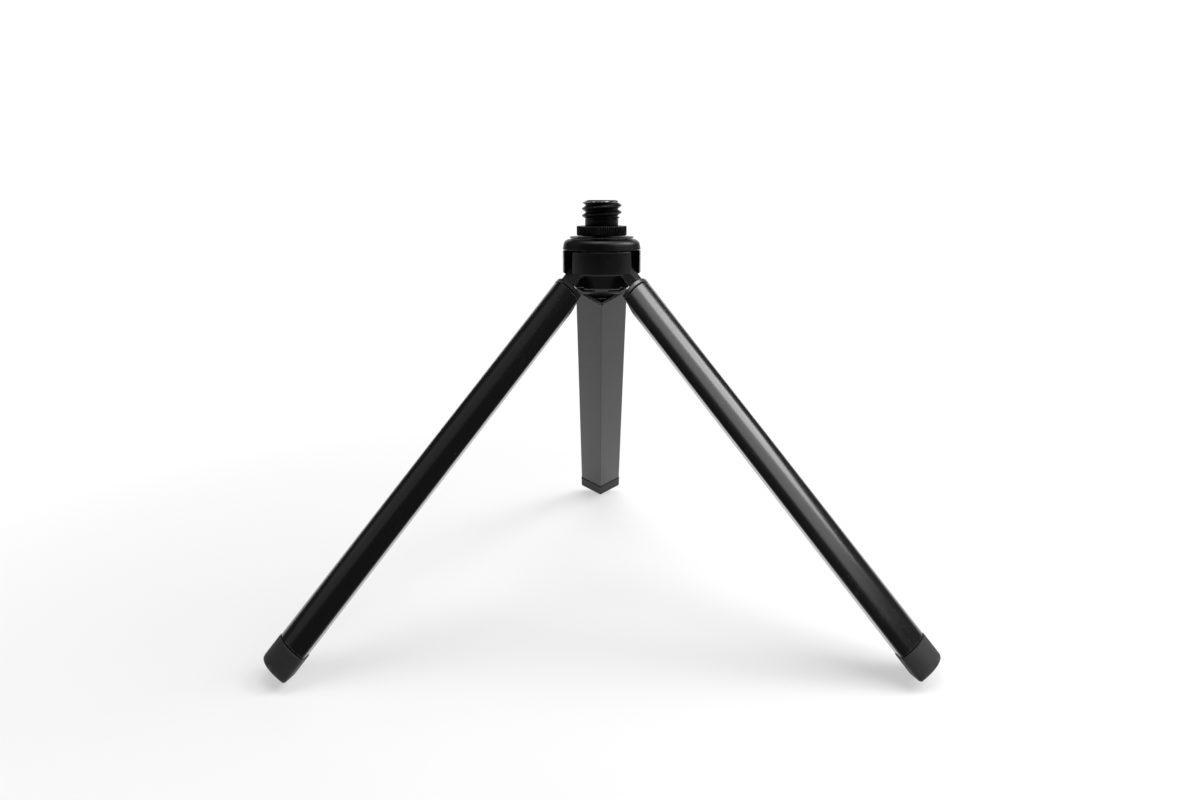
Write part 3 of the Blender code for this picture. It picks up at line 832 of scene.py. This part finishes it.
@dataclass
class Stud:
    """The threaded stud, its knurled collar and the nut below."""

    pitch: float = 25.4 / 16 * MM
    root: float = 3.9 * MM
    neck: float = 3.98 * MM
    shank: float = 2.0 * MM
    thread_length: float = 4.4 * MM
    chamfer: float = 1.2 * MM
    chamfer_steepness: float = 2.0
    steps: int = 96
    teeth: int = 72
    tooth_depth: float = 0.15 * MM
    collar_bore: float = 4.28 * MM
    nut_bore: float = 2.3 * MM
    crest_share: float = 0.075      # half of the crest's flat, in pitches
    flank_share: float = 0.35       # each flank, in pitches
    root_share: float = 0.9         # half of the root's flat, in half crests
    run_in_rise: float = 1.1        # how fast the thread grows out of the neck
    flank_steps: int = 5
    shank_steps: int = 48
    collar_steps: int = 64
    shank_overlap: float = 1.0 * MM
    neck_ease: float = 0.05 * MM
    shank_ease: float = 0.15 * MM
    rim_ease: float = 0.16 * MM

    def build(self) -> None:
        """Makes every piece that turns with the stud."""
        self.build_stud()
        self.build_collar()
        self.build_nut()

    def build_stud(self) -> None:
        """Shank, neck and right-hand thread."""
        low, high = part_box("threaded_stud")
        crest = high.x
        start = high.z - self.thread_length
        # This finish paints the top chamfer bright as a painted highlight, beside the real rub on the
        # thread's crests.
        finish = BlackedSteel(
            "stud_blacked", Slot.STUD, (0.014, 0.014, 0.015), 0.34, crest, 0.12 * MM, 0.12,
            painted_highlight=high.z - self.chamfer / self.chamfer_steepness, painted_highlight_radius=crest - self.chamfer,
        )
        thread = self.thread(crest, start, high.z)
        collar_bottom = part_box("knurled_collar")[0].z
        core = Form.rod(self.neck, start - collar_bottom, self.steps)
        core.ease(self.neck_ease, 60.0)
        bmesh.ops.translate(core.bm, verts=core.bm.verts, vec=(0, 0, (start + collar_bottom) / 2))
        shank_top = collar_bottom + self.shank_overlap
        shank = Form.rod(self.shank, shank_top - low.z, self.shank_steps)
        shank.ease(self.shank_ease, 60.0)
        bmesh.ops.translate(shank.bm, verts=shank.bm.verts, vec=(0, 0, (shank_top + low.z) / 2))
        form = thread.joined([core, shank])
        form.show(
            "threaded_stud", "stud_thread", Body.STUD.value, finish.slot, finish.make(HERE), sharp=28.0
        )

    def thread(self, crest: float, start: float, top: float) -> Form:
        """A closed length of thread, spun as a helix and cut off at both ends.

        Args:
            crest: The thread's outer radius.
            start: The height of its lower end.
            top: The height of its upper end.

        Returns:
            The thread, chamfered at its top.
        """
        form = Form()
        turns = math.ceil((top - start) / self.pitch) + 3
        flat, flank = self.pitch * self.crest_share, self.pitch * self.flank_share
        verts = []
        for turn in range(turns):
            middle = start + (turn - 2) * self.pitch
            for radius, offset in self.tooth(crest, flat, flank):
                verts.append(form.bm.verts.new((radius, 0.0, middle + offset)))
        edges = [form.bm.edges.new(pair) for pair in zip(verts, verts[1:])]
        bmesh.ops.spin(
            form.bm, geom=verts + edges, cent=(0, 0, 0), axis=(0, 0, 1), angle=FULL_TURN,
            dvec=(0, 0, self.pitch / self.steps), steps=self.steps, use_merge=False,
        )
        bmesh.ops.remove_doubles(form.bm, verts=form.bm.verts, dist=Form.MERGE)
        # Just inside the neck, so that the joint leaves no sliver.
        self.cut(form, start - 0.02 * MM, -1)
        self.cut(form, top, 1)
        for vert in form.bm.verts:
            radius = vert.co.xy.length
            limit = crest - self.chamfer + (top - vert.co.z) * self.chamfer_steepness
            run_in = self.root + max(vert.co.z - start, 0.0) * self.run_in_rise
            wanted = min(radius, limit, max(run_in, self.root))
            vert.co.xy *= wanted / radius
        bmesh.ops.holes_fill(form.bm, edges=form.bm.edges[:])
        return form

    def tooth(self, crest: float, flat: float, flank: float) -> list[Point]:
        """One pitch of the thread's profile, as (radius, offset) points from root to root."""
        points = [(self.root, -flat - flank - flat * self.root_share)]
        shares = [step / self.flank_steps for step in range(self.flank_steps + 1)]
        for share in shares:
            points.append((self.root + (crest - self.root) * share, -flat - flank * (1 - share)))
        for share in shares:
            points.append((crest - (crest - self.root) * share, flat + flank * share))
        return points

    def cut(self, form: Form, height: float, side: int) -> None:
        """Cuts a form off at a height, above it (1) or below it (-1)."""
        bmesh.ops.bisect_plane(
            form.bm, geom=form.bm.verts[:] + form.bm.edges[:] + form.bm.faces[:], dist=Form.MERGE / 10,
            plane_co=(0, 0, height), plane_no=(0, 0, side), clear_outer=True,
        )

    def build_collar(self) -> None:
        """The ring that turns the stud, with a straight knurl and eased rims."""
        low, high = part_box("knurled_collar")
        finish = BlackedSteel(
            "collar_blacked", Slot.COLLAR, (0.008, 0.008, 0.009), 0.40, high.x, 0.10 * MM, 0.12
        )
        form = Form()
        bmesh.ops.create_circle(form.bm, cap_ends=True, radius=high.x, segments=2 * self.teeth)
        grooves = [vert for vert in form.bm.verts if self.is_groove(vert.co)]
        shrink = 1 - self.tooth_depth / high.x
        bmesh.ops.scale(form.bm, verts=grooves, vec=(shrink, shrink, 1))
        form.carry(low.z, high.z)
        form.bevel(form.crisp(60.0, Form.is_level), self.rim_ease, 1)
        hole = Form.rod(self.collar_bore, (high.z - low.z) * 2, self.collar_steps)
        bmesh.ops.translate(hole.bm, verts=hole.bm.verts, vec=(0, 0, (high.z + low.z) / 2))
        form = form.joined([hole], "DIFFERENCE")
        form.show(
            "knurled_collar", "collar_knurl", Body.STUD.value, finish.slot, finish.make(HERE), sharp=20.0
        )

    def is_groove(self, spot: Vector) -> bool:
        """Whether a point of the blank's rim lies at the bottom of a groove."""
        step = math.atan2(spot.y, spot.x) / (math.pi / self.teeth)
        return round(step) % 2 == 1

    def build_nut(self) -> None:
        """The nut that holds the stud from below."""
        low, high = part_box("stud_nut")
        finish = PlatedSteel("nut_steel", Slot.PLATED, (0.55, 0.55, 0.53), 0.30)
        form = Form()
        bmesh.ops.create_circle(form.bm, cap_ends=True, radius=high.x, segments=6)
        # A corner on the X axis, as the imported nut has.
        turn = Matrix.Rotation(math.pi / 6, 3, "Z")
        bmesh.ops.rotate(form.bm, verts=form.bm.verts, cent=(0, 0, 0), matrix=turn)
        form.carry(low.z, high.z)
        form.ease(self.shank_ease)
        hole = Form.rod(self.nut_bore, (high.z - low.z) * 2, self.shank_steps)
        bmesh.ops.translate(hole.bm, verts=hole.bm.verts, vec=(0, 0, (high.z + low.z) / 2))
        form = form.joined([hole], "DIFFERENCE")
        form.show("stud_nut", "nut_hex", Body.STUD.value, finish.slot, finish.make(HERE))


# ---------------------------------------------------------------- legs


@dataclass(frozen=True)
class LegFrame:
    """Where one open leg hangs."""

    side: str
    body: str
    pivot: Vector
    azimuth: float
    spread: float

    @classmethod
    def of_joint(cls, joint: dict[str, Any]) -> "LegFrame":
        """The leg that a fold joint moves.

        Args:
            joint: The joint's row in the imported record.

        Returns:
            Its frame.
        """
        axis = joint["axis"]
        body = joint["child"]
        return cls(
            body.removeprefix("leg_"), body, Vector(joint["pos_m"]),
            math.atan2(-axis[0], axis[1]), math.radians(joint["range_deg"][1]),
        )

    @property
    def upright(self) -> Matrix:
        """The hinge's frame: X outward, Y along the hinge pin, Z up."""
        return Matrix.Translation(self.pivot) @ Matrix.Rotation(self.azimuth, 4, "Z")

    @property
    def place(self) -> Matrix:
        """The open leg's frame: -Z runs down the leg."""
        return self.upright @ Matrix.Rotation(-self.spread, 4, "Y")

    def local_box(self, node: str, place: Matrix) -> tuple[Vector, Vector]:
        """A node's lowest and highest corner, seen from a frame."""
        back = place.inverted()
        spots = [back @ vert.co for vert in frame["nodes"][node].data.vertices]
        low = Vector(min(spot[axis] for spot in spots) for axis in range(3))
        high = Vector(max(spot[axis] for spot in spots) for axis in range(3))
        return low, high


def leg_frames() -> list[LegFrame]:
    """The frames of the three legs, from the record's fold joints."""
    return [LegFrame.of_joint(joint) for joint in frame["joints"] if "range_deg" in joint]


@dataclass
class LegInsert:
    """The moulded hinge piece at the top of a leg, with its pin."""

    leg: LegFrame
    lug_half: float = 1.7 * MM
    edge_ease: float = 0.09 * MM
    pin_ease: float = 0.15 * MM
    plastic: MouldedPlastic = MouldedPlastic(
        "insert_black_plastic", Slot.INSERT, (0.012, 0.012, 0.013), 0.30,
        0.13 * MM, 0.006 * MM, sheen=0.55,
    )
    steel: PlatedSteel = PlatedSteel("pin_steel", Slot.PLATED, (0.55, 0.55, 0.53), 0.30)

    def build(self) -> None:
        """Makes the insert and the hinge pin."""
        leg = self.leg
        form = Form.of_node(f"leg_insert_{leg.side}", leg.place)
        form.ease(self.edge_ease)
        form.show(
            f"leg_insert_{leg.side}", f"hinge_insert_{leg.side}", leg.body, self.plastic.slot,
            self.plastic.make(leg.place), leg.place,
        )
        low, high = leg.local_box(f"hinge_pin_{leg.side}", leg.upright)
        pin = Form.rod(high.x, high.y - low.y, 32, "Y")
        pin.ease(self.pin_ease, 60.0)
        pin.show(
            f"hinge_pin_{leg.side}", f"pin_{leg.side}", Body.HEAD.value, self.steel.slot,
            self.steel.make(leg.upright), leg.upright,
        )


@dataclass
class LegTube:
    """The drawn section of a leg: a third of a round tube, closed by two flats."""

    leg: LegFrame
    radius: float = 7.8 * MM
    wall: float = 0.8 * MM
    corner: float = 0.4 * MM
    corner_room: float = 1.4        # straight room beside a corner, in corner radii
    least_corner: float = 0.1 * MM
    set_in: float = 0.3 * MM
    slant: float = 0.43
    arc_steps: int = 36
    end_ease: float = 0.12 * MM
    half_angle: float = math.pi / 3

    @property
    def hinge_radius(self) -> float:
        """How far the hinge stands from the tripod's axis."""
        return self.leg.pivot.xy.length

    def section(self, grow: float, corner: float) -> tuple[list[Point], list[float]]:
        """The leg's section, seen from its hinge.

        Args:
            grow: How far it stands out from the tube's own outline.
            corner: The radius of its three corners.

        Returns:
            Its corners, and how far along its sides each one is cut.
        """
        sine, cosine = math.sin(self.half_angle), math.cos(self.half_angle)
        apex = (self.set_in - grow) / sine
        reach = self.radius + grow
        along = -apex * cosine + math.sqrt(reach**2 - (apex * sine) ** 2)
        edge = math.atan2(along * sine, apex + along * cosine)
        arc = edge - self.corner_room * corner / reach
        tip = (reach * math.cos(edge), reach * math.sin(edge))
        points = [(apex, 0.0), (tip[0], -tip[1])]
        for step in range(self.arc_steps + 1):
            angle = arc * (2 * step / self.arc_steps - 1)
            points.append((reach * math.cos(angle), reach * math.sin(angle)))
        points.append(tip)
        cut = [corner / math.tan(self.half_angle), corner, *[0.0] * (self.arc_steps + 1), corner]
        return [(x - self.hinge_radius, y) for x, y in points], cut

    def build(self) -> None:
        """Makes the open tube, with eased and rubbed ends."""
        leg = self.leg
        node = f"leg_tube_{leg.side}"
        low, high = leg.local_box(node, leg.place)
        form = Form()
        edges = form.outline(*self.section(0.0, self.corner))
        edges += form.outline(*self.section(-self.wall, self.least_corner))
        bmesh.ops.bridge_loops(form.bm, edges=edges)
        square_top = high.z - self.slant * high.x
        form.carry(low.z, square_top)
        form.ease(self.end_ease, 70.0, Form.is_level)
        shear = Matrix.Identity(4)
        shear[2][0] = self.slant
        upper = [vert for vert in form.bm.verts if vert.co.z > (low.z + square_top) / 2]
        bmesh.ops.transform(form.bm, matrix=shear, verts=upper)
        finish = LegCoat(
            f"leg_coat_{leg.side}", Slot.COAT, (0.0085, 0.0085, 0.009), 0.20, square_top, low.z,
            shift=leg.azimuth, slant=self.slant,
        )
        form.show(
            node, f"leg_section_{leg.side}", leg.body, finish.slot, finish.make(leg.place), leg.place
        )


@dataclass
class LegClip:
    """The bright spring clip in the tube's mouth: a channel with a rib down its middle."""

    leg: LegFrame
    wall: float = 0.4 * MM
    edge_ease: float = 0.05 * MM
    steel: PlatedSteel = PlatedSteel("clip_bright", Slot.CLIP, (0.92, 0.91, 0.88), 0.30)

    def build(self) -> None:
        """Makes the clip."""
        leg = self.leg
        node = f"leg_clip_{leg.side}"
        low, high = leg.local_box(node, leg.place)
        wall, width = self.wall, high.y
        points = [
            (high.x, -width), (low.x, -width), (low.x, width), (high.x, width),
            (high.x, width - wall), (low.x + wall, width - wall),
            (low.x + wall, wall), (high.x, wall),
            (high.x, -wall), (low.x + wall, -wall),
            (low.x + wall, wall - width), (high.x, wall - width),
        ]
        soften = [0.0, wall, wall, 0.0, 0.0, wall / 3, wall / 3, 0.0, 0.0, wall / 3, wall / 3, 0.0]
        form = Form.prism(points, soften, low.z, high.z)
        form.ease(self.edge_ease, 60.0)
        form.show(
            node, f"clip_{leg.side}", leg.body, self.steel.slot, self.steel.make(leg.place), leg.place
        )


@dataclass
class Foot:
    """The rubber cap on a leg's end, with the spigot that plugs the tube."""

    leg: LegFrame
    rim_ease: float = 0.10 * MM

    def build(self) -> None:
        """Makes the rounded cap, with its rim eased."""
        leg = self.leg
        node = f"foot_cap_{leg.side}"
        low, _ = leg.local_box(node, leg.place)
        form = Form.of_node(node, leg.place)
        form.ease(self.rim_ease, 60.0)
        finish = FootRubber(f"foot_rubber_{leg.side}", Slot.RUBBER, (0.026, 0.026, 0.028), 0.62, low.z)
        form.show(node, f"foot_{leg.side}", leg.body, finish.slot, finish.make(leg.place), leg.place)


@dataclass
class Leg:
    """One whole leg."""

    leg: LegFrame

    def build(self) -> None:
        """Makes the leg's pieces from the hinge down."""
        LegInsert(self.leg).build()
        LegTube(self.leg).build()
        LegClip(self.leg).build()
        Foot(self.leg).build()


# ---------------------------------------------------------------- studio


@dataclass(frozen=True)
class Softbox:
    """A large soft lamp, out of the camera's sight."""

    name: str
    toward: Vector
    distance: float
    width: float
    height: float
    radiance: float

    def build(self, aim: Vector) -> None:
        """Hangs the lamp.

        Args:
            aim: The point that it faces.
        """
        lamp = bpy.data.lights.new(self.name, "AREA")
        lamp.shape = "RECTANGLE"
        lamp.size = self.width
        lamp.size_y = self.height
        lamp.energy = self.radiance * math.pi * self.width * self.height
        item = bpy.data.objects.new(self.name, lamp)
        direction = self.toward.normalized()
        item.location = aim + direction * self.distance
        item.rotation_euler = direction.to_track_quat("Z", "Y").to_euler()
        item.visible_camera = False
        bpy.context.scene.collection.objects.link(item)


@dataclass
class Studio:
    """Floor, lamps, surroundings and camera."""

    floor_size: float = 6.0
    floor_front: float = -0.27
    near: float = 0.09
    far: float = 0.27
    glow_least: float = 0.5         # the floor's own light beside the tripod
    white: float = 1.05

    def build(self) -> None:
        """Sets the stage."""
        self.build_floor()
        self.build_world()
        for lamp in self.lamps():
            lamp.build(Vector((0.0, 0.0, 0.05)))
        self.build_camera()
        scene = bpy.context.scene
        scene.view_settings.view_transform = "Standard"
        scene.view_settings.look = "None"

    def lamps(self) -> list[Softbox]:
        """The soft lamps."""
        return [
            Softbox("key_right", Vector((0.725, 0.178, 0.664)), 0.75, 0.36, 0.42, 8.0),
            Softbox("key_soft", Vector((0.63, -0.29, 0.72)), 0.80, 0.60, 0.50, 2.7),
            Softbox("overhead", Vector((0.0, 0.05, 1.0)), 0.80, 0.60, 0.50, 4.0),
            Softbox("fill_left", Vector((-0.75, 0.05, 0.55)), 0.80, 0.60, 0.60, 0.28),
            Softbox("backdrop", Vector((0.0, 1.0, 0.12)), 1.10, 1.20, 0.70, 1.2),
        ]

    def build_floor(self) -> None:
        """A pale floor that turns to plain white away from the tripod."""
        form = Form()
        bmesh.ops.create_grid(form.bm, x_segments=1, y_segments=1, size=self.floor_size / 2)
        # It ends in front of the tripod, whose head mirrors the dim room there.
        shift = (0, self.floor_front + self.floor_size / 2, 0)
        bmesh.ops.translate(form.bm, verts=form.bm.verts, vec=shift)
        floor = bpy.data.objects.new("floor", form.mesh("floor"))
        bpy.context.scene.collection.objects.link(floor)
        paint = Paint("floor_white", HERE, Roughness=0.6, Specular_IOR_Level=0.2)
        mottle = paint.noise(0.02, 2.0)
        paint.feed(Base_Color=paint.mixed(mottle, (0.80, 0.80, 0.80), (0.82, 0.82, 0.82)))
        glow = paint.add("ShaderNodeEmission", None, {"Color": (1, 1, 1, 1), "Strength": self.white})
        fade = paint.round_axis().ramp(self.near, self.far) * (1 - self.glow_least) + self.glow_least
        mix = paint.add("ShaderNodeMixShader", None, {"Fac": fade})
        paint.tree.links.new(paint.shader.outputs[0], mix.inputs[1])
        paint.tree.links.new(glow.outputs[0], mix.inputs[2])
        paint.tree.links.new(mix.outputs[0], paint.tree.nodes["Material Output"].inputs[0])
        floor.data.materials.append(paint.material)

    def build_world(self) -> None:
        """White behind the tripod, and a dim room for it to reflect."""
        world = bpy.data.worlds.new("studio_room")
        world.use_nodes = True
        book = NodeBook(world.node_tree)
        book.tree.nodes.clear()
        seen = book.signal("ShaderNodeLightPath", output="Is Camera Ray")
        dim = {"Color": (0.022, 0.022, 0.023, 1), "Strength": 1.0}
        room = book.add("ShaderNodeBackground", None, dim)
        plain = {"Color": (1, 1, 1, 1), "Strength": self.white}
        white = book.add("ShaderNodeBackground", None, plain)
        mix = book.add("ShaderNodeMixShader", None, {"Fac": seen})
        book.tree.links.new(room.outputs[0], mix.inputs[1])
        book.tree.links.new(white.outputs[0], mix.inputs[2])
        out = book.add("ShaderNodeOutputWorld")
        book.tree.links.new(mix.outputs[0], out.inputs[0])
        bpy.context.scene.world = world

    def build_camera(self) -> None:
        """The camera, low in front of the tripod."""
        lens = bpy.data.cameras.new("camera")
        lens.lens = 25.99
        lens.sensor_width = 36.0
        lens.clip_start = 0.01
        camera = bpy.data.objects.new("camera", lens)
        camera.location = (-0.00117, -0.20992, 0.10259)
        camera.rotation_euler = Euler((math.radians(76.63), 0.0, math.radians(-0.211)))
        bpy.context.scene.collection.objects.link(camera)
        bpy.context.scene.camera = camera


def main() -> None:
    logging.basicConfig(level=logging.INFO, format="%(name)s: %(message)s")
    Head().build()
    Stud().build()
    for leg in leg_frames():
        Leg(leg).build()
    Studio().build()
    bpy.context.view_layer.update()


if __name__ == "__main__":
    main()
